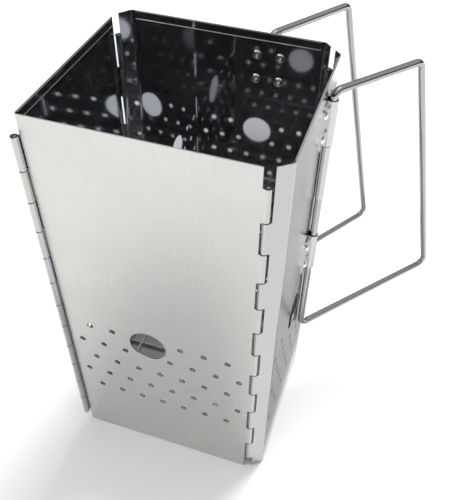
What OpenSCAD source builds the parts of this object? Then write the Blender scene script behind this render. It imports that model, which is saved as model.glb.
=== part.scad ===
// Chimney charcoal starter that folds flat: four sheet panels on rolled hinges, two wire loop
// handles in riveted straps, and a grate of crossed strips in two leaves that turn on rods held in
// hooks inside the front and back.
// Millimetres, +Z up, X along the front panel, Y from front to back. The origin is on the standing
// plane, at the middle of the front panel's lower edge.

/* [Body] */
// Height of the four panels
body_h = 300; // [300:2:320]
// Length of the flat front panel between its hinges
front_w = 134.1; // [134:0.1:136]
// Distance from the front face to the far left hinge axis
side_d = 118.5; // [118:0.1:120]
// Thickness of the sheet
sheet_t = 0.6; // [0.5:0.05:0.65]
// Height of the hem folded inside each top edge
hem_h = 5; // [3:0.5:8]

/* [Hinges] */
// Outside radius of a rolled knuckle
knuckle_r = 2.2; // [2.1:0.05:2.3]
// Radius of a hinge pin
pin_r = 1.25; // [1:0.05:1.3]
// Knuckles on each hinge
knuckles = 12; // [8:2:14]
// Height left open above and below the knuckles
notch_h = 13; // [10:1:16]
// Gap between a hinge axis and the panel edge beside it
edge_gap = 2.5; // [2.4:0.1:2.8]
// Slope of the bent flange beside the near right and far left hinges, in degrees
flange_a = 38; // [36:1:42]

/* [Air holes] */
// Diameter of a small air hole
hole_d = 4.5; // [3:0.25:6]
// Distance between small holes along a row
hole_pitch = 16.7; // [16:0.1:17]
// Distance between rows
row_pitch = 17.9; // [16:0.1:18]
// Height of the lowest row
row_z = 60.5; // [58:0.5:64]
// Diameter of the large vent hole
vent_d = 26.8; // [20:0.2:28]
// Height of the vent hole's centre
vent_z = 126.9; // [124:0.1:130]

/* [Handles] */
// Diameter of the handle wire
wire_d = 4.8; // [4:0.1:4.8]
// Height of a strap
strap_h = 31; // [28:1:32]
// Width of a strap
strap_w = 24.5; // [24:0.5:26]
// Thickness of a strap
strap_t = 0.8; // [0.6:0.1:1]
// Height of the upper straps' centre
upper_z = 271.5; // [266:0.5:271.5]
// Height of the lower straps' centre
lower_z = 164.5; // [160:0.5:168]
// Distance between rivets across a strap
rivet_dx = 15.2; // [15:0.1:16]
// Distance between rivets up a strap
rivet_dz = 16.7; // [14:0.1:18]
// Diameter of a rivet head
head_d = 5.5; // [5:0.1:5.8]

/* [Grate] */
// Diameter of the rods that the two leaves turn on
rod_d = 3; // [2.6:0.1:3]
// Height of the grate's strips
strip_h = 5.7; // [4:0.1:5.7]
// Thickness of the grate's strips
strip_t = 1; // [0.8:0.1:1.2]
// Height of the rods that the leaves hang on
grate_z = 75; // [70:1:80]

/* [Hidden] */
$fn = 48;

kgap = 0.15;                                // half the gap between neighbouring knuckles
running = 0.06;                             // radial play of a pin in the other panel's knuckles
axis_off = 2.9;                             // handle axis to panel face
back_upper_z = upper_z + 4.5;               // the back handle stands higher, and its strap with it
kl = (body_h - 2 * notch_h) / knuckles;     // pitch of the knuckles
hole_r = hole_d / 2;
wire_r = wire_d / 2;
channel_r = wire_r + 0.06;                  // channel of a strap
eg = edge_gap;
bend_r = 2;                                 // outside radius of the two bends in the right and back panels
bend_n = 8;                                 // flats that make up one bend

// Hinge axes in plan: near left, near right, far left, and far right, which closes the parallelogram
PA = [sheet_t - knuckle_r, sheet_t - knuckle_r];
PB = [front_w + edge_gap, knuckle_r];
PD = [knuckle_r, side_d];
PC = PB + PD - PA;

right_x = PB[0] + 11.1;                     // outer face of the right panel
back_y = PD[1] + 11.1;                      // outer face of the back panel
handle_y = 90;                              // right handle's axis is at this Y
handle_x = 101;                             // back handle's axis is at this X

function left(u) = [-u[1], u[0]];
function unit(v) = v / norm(v);

// Flange directions, pointing from the hinge along the sheet; the tube lies on the inner side
uB = [cos(flange_a), sin(flange_a)];
nB = left(uB);
FB = PB - knuckle_r * nB;
uC = [-sin(45), sin(45)];
nC = left(uC);
FC = PC - knuckle_r * nC;
uD = [-sin(flange_a), -cos(flange_a)];
nD = left(uD);
FD = PD - knuckle_r * nD;
P1 = FB + uB * (right_x - FB[0]) / uB[0];
P2 = FC + uC * (right_x - FC[0]) / uC[0];
P3 = FC + uC * (back_y - FC[1]) / uC[1];
P4 = FD + uD * (back_y - FD[1]) / uD[1];

// Points of a bend at p between directions u and v, on the outer (side 0) or inner (side 1) face
function turn(u, v) = acos(u * v);
function bend(p, u, v, side) =
    let (t = turn(u, v), o = p - u * bend_r * tan(t / 2) + left(u) * bend_r,
         r = bend_r - side * sheet_t, a0 = atan2(-left(u)[1], -left(u)[0]))
    [for (k = [0:bend_n]) let (a = a0 + t * (side == 0 ? k : bend_n - k) / bend_n)
        o + r * [cos(a), sin(a)]];

// Everything is drawn about the near left corner and moved to the frame's origin here
module at_origin() { translate([-67, -0.3, 0]) children(); }

// One knuckle of a hinge at p, counted down from the top
module knuckle_span(i, extra = 0) {
    translate([0, 0, body_h - notch_h - (i + 1) * kl + kgap - extra])
        linear_extrude(kl - 2 * kgap + 2 * extra) children();
}

module tubes(p, first) {
    for (i = [first:2:knuckles - 1])
        knuckle_span(i) translate(p) circle(knuckle_r);
}

module bores(p, first, r) {
    for (i = [first:2:knuckles - 1])
        translate([p[0], p[1], body_h - notch_h - (i + 1) * kl - 1]) cylinder(r = r, h = kl + 2);
}

// Strap of sheet from a to b in plan, its thickness laid to the left of a-b
module web(a, b, first) {
    n = left(unit(b - a)) * sheet_t;
    for (i = [first:2:knuckles - 1])
        knuckle_span(i) polygon([a, b, b + n, a + n]);
}

// Extra layer of sheet under the top edge, on the left of a-b, standing off by one thickness
module hem(a, b, s0, s1) {
    u = unit(b - a);
    n = left(u);
    p = a + u * s0;
    q = b - u * s1;
    translate([0, 0, body_h - hem_h])
        linear_extrude(hem_h - 0.35)
            polygon([p + n * sheet_t * 0.9, q + n * sheet_t * 0.9, q + n * sheet_t * 2, p + n * sheet_t * 2]);
    translate([0, 0, body_h - hem_h - 0.4])
        linear_extrude(0.8)
            polygon([p + n * sheet_t * 0.9, q + n * sheet_t * 0.9, q + n * sheet_t * 1.5, p + n * sheet_t * 1.5]);
}

// Small holes in staggered rows, missing where the vent is; c is the rows' middle, v the vent's
module air_holes(c, v, n_even, n_odd) {
    for (j = [0:4]) {
        n = (j % 2 == 0) ? n_even : n_odd;
        for (k = [0:n - 1]) {
            s = c + (k - (n - 1) / 2) * hole_pitch;
            z = row_z + j * row_pitch;
            if (norm([s - v, z - vent_z]) > vent_d / 2 + hole_r + 2)
                translate([s, 0, z]) rotate([90, 0, 0]) cylinder(r = hole_r, h = 8, center = true, $fn = 24);
        }
    }
    translate([v, 0, vent_z]) rotate([90, 0, 0]) cylinder(d = vent_d, h = 8, center = true);
}

module rivet_places() {
    for (sx = [-1, 1]) for (sz = [-1, 1])
        translate([sx * rivet_dx / 2, 0, sz * rivet_dz / 2]) children();
}

module rivet_holes(r) {
    rivet_places() rotate([90, 0, 0]) cylinder(r = r, h = 8, center = true, $fn = 24);
}

module front_panel() {
    color("gainsboro") at_origin() difference() {
        union() {
            translate([PA[0] + 2.8, 0, 0]) cube([front_w - PA[0] - 2.8, sheet_t, body_h]);
            web([PA[0], 0], [PA[0] + 3.3, 0], 1);
            tubes(PA, 1);
            web([front_w - 0.5, 0], [PB[0], 0], 0);
            tubes(PB, 0);
            hem([PA[0] + 2.8, 0], [front_w, 0], 1.5, 1.5);
        }
        bores(PA, 1, pin_r);
        bores(PB, 0, pin_r);
        air_holes(68.55, 61.3, 7, 8);
    }
}

module left_panel() {
    color("gainsboro") at_origin() difference() {
        union() {
            translate([0, PA[1] + 2.8, 0]) cube([sheet_t, side_d - eg - PA[1] - 2.8, body_h]);
            web([0, PA[1] + 3.3], [0, PA[1]], 0);
            tubes(PA, 0);
            web([0, PD[1]], [0, side_d - eg - 0.5], 1);
            tubes(PD, 1);
            hem([0, side_d - eg], [0, PA[1] + 2.8], 1.5, 1.5);
        }
        bores(PA, 0, pin_r + running);
        bores(PD, 1, pin_r);
        rotate([0, 0, 90]) air_holes(58.2, 51.2, 7, 6);
    }
}

module right_panel() {
    color("gainsboro") at_origin() difference() {
        union() {
            linear_extrude(body_h)
                polygon(concat([FB + eg * uB], bend(P1, uB, [0, 1], 0), bend(P2, [0, 1], uC, 0),
                    [FC - eg * uC, FC - eg * uC + sheet_t * nC],
                    bend(P2, [0, 1], uC, 1), bend(P1, uB, [0, 1], 1), [FB + eg * uB + sheet_t * nB]));
            web(FB, FB + (eg + 0.5) * uB, 1);
            tubes(PB, 1);
            web(FC - (eg + 0.5) * uC, FC, 0);
            tubes(PC, 0);
            hem(P1, P2, 2.5, 2.5);
        }
        bores(PB, 1, pin_r + running);
        bores(PC, 0, pin_r);
        translate([right_x, 0, 0]) rotate([0, 0, 90]) air_holes(63.1, 63.1, 7, 6);
        on_right(upper_z) rivet_holes(1.6);
        on_right(lower_z) rivet_holes(1.6);
    }
}

module back_panel() {
    color("gainsboro") at_origin() difference() {
        union() {
            linear_extrude(body_h)
                polygon(concat([FC + eg * uC], bend(P3, uC, [-1, 0], 0), bend(P4, [-1, 0], uD, 0),
                    [FD - eg * uD, FD - eg * uD + sheet_t * nD],
                    bend(P4, [-1, 0], uD, 1), bend(P3, uC, [-1, 0], 1), [FC + eg * uC + sheet_t * nC]));
            web(FC, FC + (eg + 0.5) * uC, 1);
            tubes(PC, 1);
            web(FD - (eg + 0.5) * uD, FD, 0);
            tubes(PD, 0);
            hem(P3, P4, 2.5, 2.5);
        }
        bores(PC, 1, pin_r + running);
        bores(PD, 0, pin_r + running);
        translate([0, back_y, 0]) air_holes(72.1, 72.1, 7, 8);
        on_back(back_upper_z) rivet_holes(1.6);
        on_back(lower_z) rivet_holes(1.6);
    }
}

module pin(p) {
    color("silver") at_origin()
        translate([p[0], p[1], notch_h + 0.8]) cylinder(r = pin_r, h = body_h - 2 * notch_h - 1.6);
}

// Places local x along the panel and local y outward, at height z
module on_right(z) { translate([right_x, handle_y, z]) rotate([0, 0, -90]) children(); }
module on_back(z) { translate([handle_x, back_y, z]) children(); }

// Strap bent over the wire: two riveted flanges and a channel
module bracket() {
    cr = 3;
    difference() {
        intersection() {
            translate([0, 0, -strap_h / 2]) linear_extrude(strap_h) difference() {
                union() {
                    translate([-strap_w / 2, 0]) square([strap_w, strap_t]);
                    translate([0, axis_off]) circle(channel_r + strap_t);
                    translate([-(channel_r + strap_t), 0])
                        square([2 * (channel_r + strap_t), axis_off]);
                }
                translate([0, axis_off]) circle(channel_r);
                translate([-channel_r, -1]) square([2 * channel_r, axis_off + 1]);
            }
            union() {
                translate([-strap_w / 2, -1, -strap_h / 2 + cr]) cube([strap_w, 12, strap_h - 2 * cr]);
                translate([-strap_w / 2 + cr, -1, -strap_h / 2]) cube([strap_w - 2 * cr, 12, strap_h]);
                for (sx = [-1, 1]) for (sz = [-1, 1])
                    translate([sx * (strap_w / 2 - cr), 11, sz * (strap_h / 2 - cr)])
                        rotate([90, 0, 0]) cylinder(r = cr, h = 12);
            }
        }
        rivet_holes(1.6);
    }
}

// Tubular rivet: domed head outside, shank, rolled ring inside
module rivets() {
    cap_h = 1.4;
    cap_r = (head_d * head_d / 4 + cap_h * cap_h) / (2 * cap_h);
    ring_r = head_d / 2 - 0.5;
    rivet_places() difference() {
        union() {
            intersection() {
                translate([0, strap_t + cap_h - cap_r, 0]) sphere(cap_r);
                translate([-head_d, strap_t, -head_d]) cube([2 * head_d, cap_h + 1, 2 * head_d]);
            }
            translate([0, strap_t + 0.3, 0]) rotate([90, 0, 0])
                cylinder(r = 1.55, h = strap_t + 0.3 + sheet_t + 0.9, $fn = 24);
            translate([0, -sheet_t, 0]) rotate([90, 0, 0]) cylinder(r = ring_r, h = 0.5);
            intersection() {
                translate([0, -sheet_t - 0.15, 0]) rotate([90, 0, 0])
                    rotate_extrude() translate([ring_r, 0]) circle(0.9);
                translate([-5, -sheet_t - 3, -5]) cube([10, 3, 10]);
            }
        }
        translate([0, 0.5, 0]) rotate([90, 0, 0]) cylinder(r = 1.2, h = 4, $fn = 24);
    }
}

// Wire loop in the X-Z plane, closed inside the sleeve at z = join. The straight runs are a hair
// thinner than the bends and reach a little way into them.
module wire_loop(r1, r2, zt, zb, join) {
    p = [[0, join - 0.25], [0, zb], [r2, zb], [r1, zt], [0, zt], [0, join + 0.25]];
    rad = [0, 7, 6, 6, 5, 0];
    u = [for (i = [0:4]) unit(p[i + 1] - p[i])];
    turn = [for (i = [0:5]) (i == 0 || i == 5) ? 0 : acos(u[i - 1] * u[i])];
    cut = [for (i = [0:5]) rad[i] * tan(turn[i] / 2)];
    for (i = [0:4]) {
        a = p[i] + u[i] * cut[i];
        b = p[i + 1] - u[i] * cut[i + 1];
        lead = (i == 0) ? 0 : 0.3;
        tail = (i == 4) ? 0 : 0.3;
        translate([a[0] - lead * u[i][0], 0, a[1] - lead * u[i][1]])
            rotate([0, atan2(u[i][0], u[i][1]), 0])
                cylinder(r = wire_r - 0.02, h = norm(b - a) + lead + tail);
    }
    for (i = [1:4]) {
        o = p[i] - u[i - 1] * cut[i] + rad[i] * left(u[i - 1]);
        translate([o[0], 0, o[1]]) rotate([90, 0, 0])
            rotate([0, 0, atan2(-left(u[i - 1])[1], -left(u[i - 1])[0])])
                rotate_extrude(angle = turn[i]) translate([rad[i], 0]) circle(wire_r);
    }
}

sleeve_z = 234;

module sleeve() {
    translate([0, 0, sleeve_z - 21]) difference() {
        cylinder(r = wire_r + 0.3, h = 42);
        translate([0, 0, -1]) cylinder(r = wire_r, h = 44);
    }
}

module right_axis() { at_origin() translate([right_x + axis_off, handle_y, 0]) rotate([0, 0, 50]) children(); }
module back_axis() { at_origin() translate([handle_x, back_y + axis_off, 0]) rotate([0, 0, 56.6]) children(); }

module right_handle() { color("silver") right_axis() wire_loop(66.5, 134.5, 292.3, 81, sleeve_z); }
module right_handle_sleeve() { color("lightgray") right_axis() sleeve(); }
module back_handle() { color("silver") back_axis() wire_loop(68, 136, 297.7, 75.3, sleeve_z); }
module back_handle_sleeve() { color("lightgray") back_axis() sleeve(); }

module right_upper_bracket() { color("lightgray") at_origin() on_right(upper_z) bracket(); }
module right_lower_bracket() { color("lightgray") at_origin() on_right(lower_z) bracket(); }
module right_upper_rivets() { color("silver") at_origin() on_right(upper_z) rivets(); }
module right_lower_rivets() { color("silver") at_origin() on_right(lower_z) rivets(); }
module back_upper_bracket() { color("lightgray") at_origin() on_back(back_upper_z) bracket(); }
module back_lower_bracket() { color("lightgray") at_origin() on_back(lower_z) bracket(); }
module back_upper_rivets() { color("silver") at_origin() on_back(back_upper_z) rivets(); }
module back_lower_rivets() { color("silver") at_origin() on_back(lower_z) rivets(); }

module near_left_pin() { pin(PA); }
module near_right_pin() { pin(PB); }
module far_left_pin() { pin(PD); }
module far_right_pin() { pin(PC); }

front_rod = 6;                              // Y of the front leaf's rod
rear_rod = back_y - 6;                      // Y of the rear leaf's rod

module rod(x0, x1, y) {
    translate([x0, y, grate_z]) rotate([0, 90, 0]) cylinder(d = rod_d, h = x1 - x0, $fn = 24);
}

// Strips stand on edge, level with the rod's underside, and are slotted into each other
module xstrip(x0, x1, y) {
    translate([x0, y - strip_t / 2, grate_z - rod_d / 2]) cube([x1 - x0, strip_t, strip_h]);
}
module ystrip(x, y0, y1) {
    translate([x - strip_t / 2, y0, grate_z - rod_d / 2]) cube([strip_t, y1 - y0, strip_h]);
}

module front_grate() {
    color("dimgray") at_origin() {
        rod(21.5, 127, front_rod);
        xstrip(22.5, 122.5, front_rod + 14);
        xstrip(22.5, 122.5, front_rod + 27.5);
        xstrip(22.5, 101.5, front_rod + 50.5);
        for (b = [[23, 52.5], [38, 52.5], [59, 52.5], [80, 52.5], [101, 51], [122, 28]])
            ystrip(b[0], front_rod - 0.5, front_rod + b[1]);
    }
}

module rear_grate() {
    color("dimgray") at_origin() {
        rod(12, 127, rear_rod);
        xstrip(16.5, 122.5, rear_rod - 22.5);
        xstrip(37.5, 122.5, rear_rod - 43.5);
        xstrip(58.5, 122.5, rear_rod - 59.5);
        for (b = [[17, 23], [38, 45], [59, 61], [80, 61], [101, 61], [122, 61]])
            ystrip(b[0], rear_rod - b[1], rear_rod + 0.5);
    }
}

// Hook with its back on the wall at y = 0, its lip toward +Y, the rod's axis at y = d
module hook(x, d) {
    r = rod_d / 2;
    translate([x - 4, 0, grate_z]) {
        translate([0, 0, -12]) cube([8, 0.8, 12 - r - 0.05]);
        translate([0, 0, -r - 0.85]) cube([8, d + r + 0.9, 0.8]);
        translate([0, d + r + 0.1, -r - 0.85]) cube([8, 0.8, r + 1.75]);
    }
}

module front_grate_hooks() {
    color("gray") at_origin() for (x = [48.5, 111.5]) translate([0, sheet_t, 0]) hook(x, front_rod - sheet_t);
}

module rear_grate_hooks() {
    color("gray") at_origin() for (x = [48.5, 111.5])
        translate([0, back_y - sheet_t, 0]) mirror([0, 1, 0]) hook(x, back_y - sheet_t - rear_rod);
}

front_panel();
left_panel();
right_panel();
back_panel();
near_left_pin();
near_right_pin();
far_left_pin();
far_right_pin();
right_handle();
right_handle_sleeve();
right_upper_bracket();
right_lower_bracket();
right_upper_rivets();
right_lower_rivets();
back_handle();
back_handle_sleeve();
back_upper_bracket();
back_lower_bracket();
back_upper_rivets();
back_lower_rivets();
front_grate();
rear_grate();
front_grate_hooks();
rear_grate_hooks();
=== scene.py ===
"""Looks of the folding chimney charcoal starter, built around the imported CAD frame."""

import math

import bmesh
import bpy
from mathutils import Matrix, Vector


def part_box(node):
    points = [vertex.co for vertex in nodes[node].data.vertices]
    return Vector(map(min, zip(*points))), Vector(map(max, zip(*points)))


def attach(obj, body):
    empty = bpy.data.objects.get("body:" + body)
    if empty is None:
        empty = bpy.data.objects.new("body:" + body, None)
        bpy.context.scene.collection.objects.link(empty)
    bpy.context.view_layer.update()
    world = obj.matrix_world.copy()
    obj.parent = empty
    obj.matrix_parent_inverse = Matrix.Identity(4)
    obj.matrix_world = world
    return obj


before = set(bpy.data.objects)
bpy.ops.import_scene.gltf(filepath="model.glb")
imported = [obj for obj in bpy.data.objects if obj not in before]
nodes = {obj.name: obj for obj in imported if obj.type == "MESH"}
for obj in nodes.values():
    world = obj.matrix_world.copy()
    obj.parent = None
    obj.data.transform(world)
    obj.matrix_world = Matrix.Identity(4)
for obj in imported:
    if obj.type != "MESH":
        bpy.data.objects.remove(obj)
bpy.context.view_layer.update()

D = bpy.data


# ------------------------------------------------------------------ node helpers
class Graph:
    """A small helper that builds one material's node tree."""

    def __init__(self, name):
        self.mat = D.materials.new(name)
        self.mat.use_nodes = True
        self.t = self.mat.node_tree
        for n in list(self.t.nodes):
            self.t.nodes.remove(n)
        self.out = self.t.nodes.new("ShaderNodeOutputMaterial")
        self.bsdf = self.t.nodes.new("ShaderNodeBsdfPrincipled")
        self.t.links.new(self.bsdf.outputs[0], self.out.inputs[0])
        self.coord = self.t.nodes.new("ShaderNodeTexCoord")

    def add(self, kind, **props):
        n = self.t.nodes.new(kind)
        for k, v in props.items():
            setattr(n, k, v)
        return n

    def link(self, a, b):
        self.t.links.new(a, b)

    def put(self, socket, value):
        if isinstance(value, bpy.types.NodeSocket):
            self.link(value, socket)
        else:
            socket.default_value = value

    def scaled(self, sx, sy, sz, rot=(0, 0, 0)):
        m = self.add("ShaderNodeMapping")
        m.inputs["Scale"].default_value = (sx, sy, sz)
        m.inputs["Rotation"].default_value = rot
        self.link(self.coord.outputs["Object"], m.inputs["Vector"])
        return m.outputs[0]

    def noise(self, vec, scale, detail=3.0, rough=0.5, dist=0.0):
        n = self.add("ShaderNodeTexNoise")
        n.inputs["Scale"].default_value = scale
        n.inputs["Detail"].default_value = detail
        n.inputs["Roughness"].default_value = rough
        n.inputs["Distortion"].default_value = dist
        self.link(vec, n.inputs["Vector"])
        return n.outputs[0]

    def remap(self, v, a, b, c, d):
        n = self.add("ShaderNodeMapRange")
        n.inputs[1].default_value = a
        n.inputs[2].default_value = b
        n.inputs[3].default_value = c
        n.inputs[4].default_value = d
        self.link(v, n.inputs[0])
        return n.outputs[0]

    def math(self, op, a, b=0.0, c=None):
        n = self.add("ShaderNodeMath", operation=op)
        self.put(n.inputs[0], a)
        self.put(n.inputs[1], b)
        if c is not None:
            self.put(n.inputs[2], c)
        return n.outputs[0]

    def mix(self, fac, a, b):
        n = self.add("ShaderNodeMix", data_type="RGBA")
        self.put(n.inputs[0], fac)
        for s, v in ((n.inputs[6], a), (n.inputs[7], b)):
            if isinstance(v, bpy.types.NodeSocket):
                self.link(v, s)
            else:
                s.default_value = (*v, 1.0)
        return n.outputs[2]

    def bump(self, height, strength, distance, normal=None):
        n = self.add("ShaderNodeBump")
        n.inputs["Strength"].default_value = strength
        n.inputs["Distance"].default_value = distance
        self.link(height, n.inputs["Height"])
        if normal is not None:
            self.link(normal, n.inputs["Normal"])
        return n.outputs[0]


def sheet_steel(name, inward=None, outer=(0.60, 0.595, 0.575), inner=(0.50, 0.51, 0.53), rough=0.30, grain=(1, 1, 0.02),
                inner_rough=0.03, lean=None, painted_face_shade=None):
    """Bright rolled sheet: satin outside, mirror-like inside; inward lists the axis and sign of inner faces."""
    g = Graph(name)
    # broad unevenness of the rolled sheet, fine rolling grain, and light handling marks
    wave = g.noise(g.scaled(1, 1, 0.55), 13.0, 1.0, 0.4)
    broad = g.noise(g.scaled(1, 1, 1), 34.0, 2.0, 0.5)
    grain_n = g.noise(g.scaled(*grain), 1900.0, 2.0, 0.6)
    smudge = g.noise(g.scaled(1, 1, 1), 21.0, 5.0, 0.62, 0.4)
    r = g.math("ADD", g.remap(grain_n, 0.3, 0.7, rough - 0.03, rough + 0.04), g.remap(smudge, 0.35, 0.7, -0.03, 0.05))
    col = g.mix(g.remap(smudge, 0.35, 0.75, 0.0, 0.5), outer, tuple(c * 0.93 for c in outer))
    col = g.mix(g.remap(grain_n, 0.3, 0.75, 0.0, 0.12), col, tuple(c * 0.88 for c in outer))
    sep = g.add("ShaderNodeSeparateXYZ")
    g.link(g.coord.outputs["Normal"], sep.inputs[0])
    # rolled and bent metal is drawn smooth by the tool, so curved faces are glossier than the flat ones
    big = g.math("MAXIMUM", g.math("MAXIMUM", g.math("ABSOLUTE", sep.outputs[0]), g.math("ABSOLUTE", sep.outputs[1])),
                 g.math("ABSOLUTE", sep.outputs[2]))
    flat = g.remap(big, 0.985, 0.998, 0.0, 1.0)
    r = g.math("MULTIPLY", r, g.remap(flat, 0.0, 1.0, 0.38, 1.0))
    # curved faces are also painted 20% darker than the flat sheet: painted shade along the bends and knuckles
    col = g.mix(flat, tuple(c * 0.80 for c in outer), col)
    # the narrow gaps between the knuckles are in shade
    at = g.add("ShaderNodeSeparateXYZ")
    g.link(g.coord.outputs["Object"], at.inputs[0])
    gap = g.math("PINGPONG", g.math("SUBTRACT", at.outputs[2], KNUCKLE_FOOT), KNUCKLE_PITCH / 2)
    gap = g.remap(g.math("ABSOLUTE", gap), 0.00028, 0.00058, 1.0, 0.0)
    far = None
    for x, y in HINGES:
        dx = g.math("SUBTRACT", at.outputs[0], x)
        dy = g.math("SUBTRACT", at.outputs[1], y)
        d = g.math("SQRT", g.math("MULTIPLY_ADD", dx, dx, g.math("MULTIPLY", dy, dy)))
        far = d if far is None else g.math("MINIMUM", far, d)
    shade = g.math("MULTIPLY", gap, g.remap(far, 0.0024, 0.0026, 1.0, 0.0))
    col = g.mix(shade, col, (0.05, 0.05, 0.05))
    if painted_face_shade:
        # the wide outer face is painted a little darker than the bent flanges beside it: painted shade for the darker
        # reflection on that face
        axis, sign, by = painted_face_shade
        face = g.remap(g.math("MULTIPLY", sep.outputs["XYZ".index(axis)], float(sign)), 0.85, 0.97, 0.0, 1.0)
        col = g.mix(face, col, tuple(c * by for c in outer))
    if inward:
        mask = None
        for axis, sign in inward:
            m = g.remap(g.math("MULTIPLY", sep.outputs["XYZ".index(axis)], float(sign)), 0.3, 0.5, 0.0, 1.0)
            mask = m if mask is None else g.math("MAXIMUM", mask, m)
        # the inner faces get a darker colour than the outer face of the same steel: painted shade that dims the inside
        # of the box and its repeated reflections
        col = g.mix(mask, col, g.mix(g.remap(smudge, 0.35, 0.75, 0.0, 0.6), inner, tuple(c * 0.85 for c in inner)))
        r_in = g.remap(smudge, 0.35, 0.75, inner_rough, inner_rough + 0.04)
        mixr = g.add("ShaderNodeMix", data_type="FLOAT")
        g.link(mask, mixr.inputs[0])
        g.link(r, mixr.inputs[2])
        g.link(r_in, mixr.inputs[3])
        r = mixr.outputs[0]
    g.link(col, g.bsdf.inputs["Base Color"])
    g.link(r, g.bsdf.inputs["Roughness"])
    g.bsdf.inputs["Metallic"].default_value = 1.0
    if inward:
        # a thin dull film on the inside takes a little light from the open top
        g.link(g.math("MULTIPLY_ADD", mask, -0.035, 1.0), g.bsdf.inputs["Metallic"])
        keep = g.math("MULTIPLY_ADD", mask, -0.85, 1.0)
        wave = g.math("MULTIPLY", wave, keep)
        broad = g.math("MULTIPLY", broad, keep)
        grain_n = g.math("MULTIPLY", grain_n, keep)
    base_n = None
    if lean:
        # the thin sheet bows a little, so its mirror-like inside leans by a degree or two
        off = g.add("ShaderNodeVectorMath", operation="SCALE")
        off.inputs[0].default_value = lean
        g.link(mask, off.inputs["Scale"])
        tot = g.add("ShaderNodeVectorMath", operation="ADD")
        g.link(g.coord.outputs["Normal"], tot.inputs[0])
        g.link(off.outputs[0], tot.inputs[1])
        turn = g.add("ShaderNodeVectorTransform", vector_type="NORMAL", convert_from="OBJECT", convert_to="WORLD")
        g.link(tot.outputs[0], turn.inputs[0])
        base_n = turn.outputs[0]
    n1 = g.bump(wave, 0.30, 0.0009, base_n)
    n2 = g.bump(broad, 0.05, 0.0002, n1)
    n3 = g.bump(grain_n, 0.006, 0.00001, n2)
    g.link(n3, g.bsdf.inputs["Normal"])
    return g.mat


def bright_metal(name, color, rough, dark=0.75, scale=160.0, streak=(1, 1, 1), bump=0.04, metal=1.0):
    g = Graph(name)
    fine = g.noise(g.scaled(*streak), scale, 4.0, 0.6)
    spots = g.noise(g.scaled(1, 1, 1), 55.0, 3.0, 0.55)
    col = g.mix(g.remap(spots, 0.35, 0.75, 0.0, 0.6), color, tuple(c * dark for c in color))
    g.link(col, g.bsdf.inputs["Base Color"])
    g.link(g.remap(fine, 0.3, 0.7, max(rough - 0.03, 0.02), rough + 0.06), g.bsdf.inputs["Roughness"])
    g.bsdf.inputs["Metallic"].default_value = metal
    g.link(g.bump(fine, bump, 0.0001), g.bsdf.inputs["Normal"])
    return g.mat


MM = 0.001
KNUCKLE_FOOT = 13.0 * MM               # lowest knuckle's foot
KNUCKLE_PITCH = 274.0 / 12 * MM
HINGES = [tuple((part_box(p)[0][i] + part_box(p)[1][i]) / 2 for i in (0, 1))
          for p in ("near_left_pin", "near_right_pin", "far_left_pin", "far_right_pin")]

MATS = {
    # the front panel's inner face is painted darkest: painted shade on the reflections inside the box
    "front": sheet_steel("sheet_front", [("Y", 1)], inner=(0.25, 0.255, 0.265), inner_rough=0.03),
    "left": sheet_steel("sheet_left", [("X", 1)], lean=(0, 0.055, 0)),
    # the right panel's outer colour is set darker and greyer than the other panels, and its wide face darker again:
    # painted shade for the darker reflection on that side; the four panels are the same steel
    "right": sheet_steel("sheet_right", [("X", -1)], outer=(0.57, 0.57, 0.57), painted_face_shade=("X", 1, 0.95), rough=0.14),
    "back": sheet_steel("sheet_back", [("Y", -1)], lean=(0, 0, -0.022)),
    "pin": bright_metal("pin_steel", (0.55, 0.55, 0.54), 0.30),
    "handle": bright_metal("handle_chrome", (0.41, 0.415, 0.42), 0.05, 0.92, 220.0, (1, 1, 0.3), 0.02),
    "sleeve": bright_metal("sleeve_steel", (0.52, 0.525, 0.53), 0.14, 0.9, 300.0),
    "strap": bright_metal("strap_steel", (0.56, 0.56, 0.555), 0.20, 0.9, 260.0),
    "rivet": bright_metal("rivet_steel", (0.86, 0.86, 0.85), 0.10, 0.92, 400.0),
    "grate": bright_metal("grate_steel", (0.92, 0.92, 0.90), 0.32, 0.9, 200.0, metal=0.5),
    "hook": bright_metal("hook_steel", (0.66, 0.66, 0.65), 0.25, 0.85, 200.0),
}

LOOK = {
    "front_panel": "front", "left_panel": "left", "right_panel": "right", "back_panel": "back",
    "near_left_pin": "pin", "near_right_pin": "pin", "far_left_pin": "pin", "far_right_pin": "pin",
    "right_handle": "handle", "back_handle": "handle",
    "right_handle_sleeve": "sleeve", "back_handle_sleeve": "sleeve",
    "right_upper_bracket": "strap", "right_lower_bracket": "strap",
    "back_upper_bracket": "strap", "back_lower_bracket": "strap",
    "right_upper_rivets": "rivet", "right_lower_rivets": "rivet",
    "back_upper_rivets": "rivet", "back_lower_rivets": "rivet",
    "front_grate": "grate", "rear_grate": "grate",
    "front_grate_hooks": "hook", "rear_grate_hooks": "hook",
}
for name, look in LOOK.items():
    ob = nodes[name]
    if not ob.material_slots:
        ob.data.materials.append(None)
    for s in ob.material_slots:
        s.material = MATS[look]


# ------------------------------------------------------------------ folded edges of the hems
hem_mat = bright_metal("hem_edge_steel", (0.72, 0.72, 0.71), 0.30, 0.9, 300.0, metal=0.85)


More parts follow.
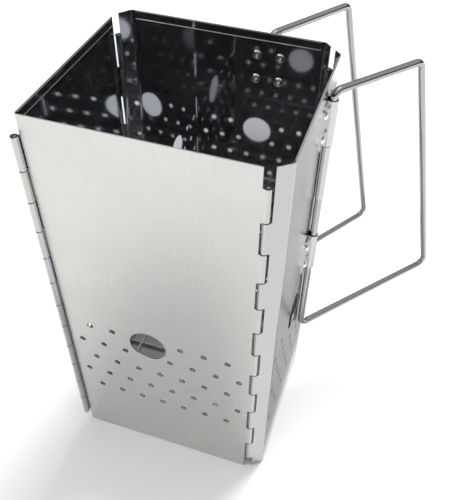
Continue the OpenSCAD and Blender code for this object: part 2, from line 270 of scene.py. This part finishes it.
def bead(name, a, b, r, body):
    """A round fold from a to b (metres) with softly closed ends, as a sheet edge turned back on itself."""
    a, b = Vector(a), Vector(b)
    u = (b - a).normalized()
    side = u.cross(Vector((0, 0, 1))).normalized()
    up_ = side.cross(u)
    n = 12
    rings = []
    steps = [(0.0, 0.25), (0.25 * r, 0.7), (0.7 * r, 1.0)]
    length = (b - a).length
    stations = steps + [(length * k / 6, 1.0) for k in range(1, 6)] + [(length - t, k) for t, k in reversed(steps)]
    bm = bmesh.new()
    for t, k in stations:
        c = a + u * t
        rings.append([bm.verts.new(c + r * k * (side * math.cos(2 * math.pi * i / n) + up_ * math.sin(2 * math.pi * i / n)))
                      for i in range(n)])
    for p, q in zip(rings, rings[1:]):
        for i in range(n):
            bm.faces.new((p[i], p[(i + 1) % n], q[(i + 1) % n], q[i]))
    bm.faces.new(list(reversed(rings[0])))
    bm.faces.new(rings[-1])
    bmesh.ops.recalc_face_normals(bm, faces=bm.faces)
    me = D.meshes.new(name)
    bm.to_mesh(me)
    bm.free()
    for f in me.polygons:
        f.use_smooth = True
    me.materials.append(hem_mat)
    o = D.objects.new(name, me)
    bpy.context.scene.collection.objects.link(o)
    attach(o, body)
    return o


front_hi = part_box("front_panel")[1]
hz = front_hi[2] - 5.25 * MM       # lower edge of the hems
fy = -0.3 * MM                     # outer face of the front panel
lx = -67.0 * MM                    # outer face of the left panel
bead("front_hem_edge", (-64.0 * MM, fy + 0.95 * MM, hz), (65.3 * MM, fy + 0.95 * MM, hz), 0.42 * MM, "front")
bead("left_hem_edge", (lx + 0.95 * MM, 2.7 * MM, hz), (lx + 0.95 * MM, 113.9 * MM, hz), 0.42 * MM, "left")
bead("right_hem_edge", (80.7 * MM - 0.95 * MM, 10.6 * MM, hz), (80.7 * MM - 0.95 * MM, 115.0 * MM, hz), 0.42 * MM, "right")
bead("back_hem_edge", (-56.1 * MM, 129.3 * MM - 0.95 * MM, hz), (66.4 * MM, 129.3 * MM - 0.95 * MM, hz), 0.42 * MM, "back")

# ------------------------------------------------------------------ camera
cam_data = D.cameras.new("camera")
cam_data.lens = 46.45
cam_data.sensor_width = 36.0
cam_data.sensor_fit = "AUTO"
cam_data.clip_start = 0.01
cam_data.clip_end = 20.0
cam = D.objects.new("camera", cam_data)
bpy.context.scene.collection.objects.link(cam)
right = Vector((0.95022468, 0.31109065, 0.01719486))
up = Vector((-0.23284168, 0.67237711, 0.70263346))
back = Vector((0.20702126, -0.67166334, 0.71134419))
cam.matrix_world = Matrix((
    (right.x, up.x, back.x, 0.12366),
    (right.y, up.y, back.y, -0.23473),
    (right.z, up.z, back.z, 0.48795),
    (0, 0, 0, 1),
))
bpy.context.scene.camera = cam


# ------------------------------------------------------------------ floor and light
def emission_free(name, color, rough):
    g = Graph(name)
    n = g.noise(g.scaled(1, 1, 1), 3.0, 2.0)
    g.link(g.mix(g.remap(n, 0.3, 0.7, 0.0, 0.2), color, tuple(c * 0.99 for c in color)), g.bsdf.inputs["Base Color"])
    g.bsdf.inputs["Roughness"].default_value = rough
    return g.mat


bm = bmesh.new()
bmesh.ops.create_grid(bm, x_segments=2, y_segments=2, size=30.0)
me = D.meshes.new("floor")
bm.to_mesh(me)
bm.free()
floor = D.objects.new("floor", me)
floor.location.z = -0.0002
bpy.context.scene.collection.objects.link(floor)
me.materials.append(emission_free("floor", (0.93, 0.93, 0.93), 0.9))

# a grey sheet beside the object that only the metal mirrors: painted shade standing in for the shaded floor that the
# right face reflects
shade_card_mesh = D.meshes.new("shade_card")
shade_card_mesh.from_pydata([(0.083, 0.012, 0.0006), (0.22, 0.012, 0.0006), (0.22, 0.60, 0.0006), (0.083, 0.60, 0.0006)],
                      [], [(0, 1, 2, 3)])
shade_card_graph = Graph("shade_card_grey")
shade_card_graph.bsdf.inputs["Base Color"].default_value = (0.44, 0.44, 0.44, 1.0)
shade_card_graph.bsdf.inputs["Roughness"].default_value = 0.9
shade_card_mesh.materials.append(shade_card_graph.mat)
shade_card = D.objects.new("shade_card", shade_card_mesh)
bpy.context.scene.collection.objects.link(shade_card)
shade_card.visible_camera = False
shade_card.visible_diffuse = False
shade_card.visible_shadow = False
shade_card.visible_transmission = False

bpy.context.scene.view_settings.view_transform = "Standard"
world = D.worlds.new("world") if not bpy.context.scene.world else bpy.context.scene.world
bpy.context.scene.world = world
world.use_nodes = True
wt = world.node_tree
for n in list(wt.nodes):
    wt.nodes.remove(n)
wout = wt.nodes.new("ShaderNodeOutputWorld")
bg = wt.nodes.new("ShaderNodeBackground")
# a soft studio: bright ceiling, pale walls, and a dark band low down that gives metal its dark lines
wc = wt.nodes.new("ShaderNodeTexCoord")
ws = wt.nodes.new("ShaderNodeSeparateXYZ")
wt.links.new(wc.outputs["Generated"], ws.inputs[0])
ramp = wt.nodes.new("ShaderNodeValToRGB")
cr = ramp.color_ramp
cr.elements[0].position = 0.0
cr.elements[0].color = (0.55, 0.55, 0.56, 1)
cr.elements[1].position = 1.0
cr.elements[1].color = (3.2, 3.2, 3.2, 1)
for pos, v in ((0.49, 0.5), (0.51, 0.06), (0.62, 0.03), (0.67, 0.4), (0.76, 1.2), (0.955, 1.25), (0.975, 3.2)):
    e = cr.elements.new(pos)
    e.color = (v, v, v * 1.02, 1)
half = wt.nodes.new("ShaderNodeMath")
half.operation = "MULTIPLY_ADD"
half.inputs[1].default_value = 0.5
half.inputs[2].default_value = 0.5
wt.links.new(ws.outputs[2], half.inputs[0])
wt.links.new(half.outputs[0], ramp.inputs[0])
wt.links.new(ramp.outputs[0], bg.inputs[0])
bg.inputs[1].default_value = 0.50
# beyond the floor the eye sees a plain white backdrop; the banded studio is only what the metal mirrors
plain = wt.nodes.new("ShaderNodeBackground")
plain.inputs[0].default_value = (1.0, 1.0, 1.0, 1)
plain.inputs[1].default_value = 1.1
path = wt.nodes.new("ShaderNodeLightPath")
pick = wt.nodes.new("ShaderNodeMixShader")
wt.links.new(path.outputs["Is Camera Ray"], pick.inputs[0])
wt.links.new(bg.outputs[0], pick.inputs[1])
wt.links.new(plain.outputs[0], pick.inputs[2])
wt.links.new(pick.outputs[0], wout.inputs[0])


def sun(name, direction, strength, angle):
    l = D.lights.new(name, "SUN")
    l.energy = strength
    l.angle = angle
    o = D.objects.new(name, l)
    o.location = direction
    o.rotation_euler = (-Vector(direction)).to_track_quat("-Z", "Y").to_euler()
    bpy.context.scene.collection.objects.link(o)
    return o


key = sun("key", (0.32, 1.1, 1.5), 2.75, 0.42)
key.visible_glossy = False       # it lights the floor, and leaves no glare along the wires
sun("front", (-1.2, -0.8, 1.4), 0.55, 0.5)
